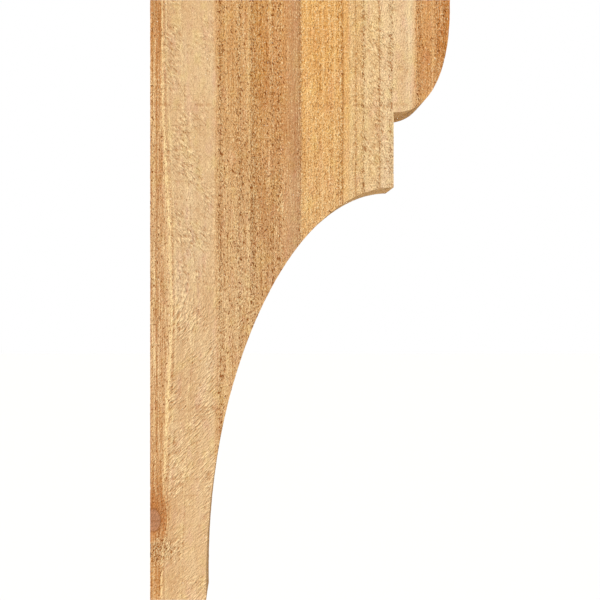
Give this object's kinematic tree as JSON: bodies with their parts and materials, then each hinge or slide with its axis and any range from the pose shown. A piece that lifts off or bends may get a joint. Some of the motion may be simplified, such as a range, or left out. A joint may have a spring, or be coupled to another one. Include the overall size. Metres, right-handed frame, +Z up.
{
  "type": "wooden corbel bracket",
  "caption": "Flat-sided rough-sawn timber corbel with a rounded nose, a square step and a long elliptical cove down to a narrow foot; fixed by its back, it carries an eave or shelf on its top.",
  "frame": {"origin": "middle of the flat back face, where the bracket meets the wall", "axes": "+X out from the wall, +Y through the timber's thickness, +Z up to the flat top"},
  "size_m": [0.3048, 0.0888, 0.6096],
  "materials": {
    "wood": "rough-sawn, unpainted"
  },
  "bodies": {
    "root": {"bracket": "wood"}
  },
  "joints": []
}
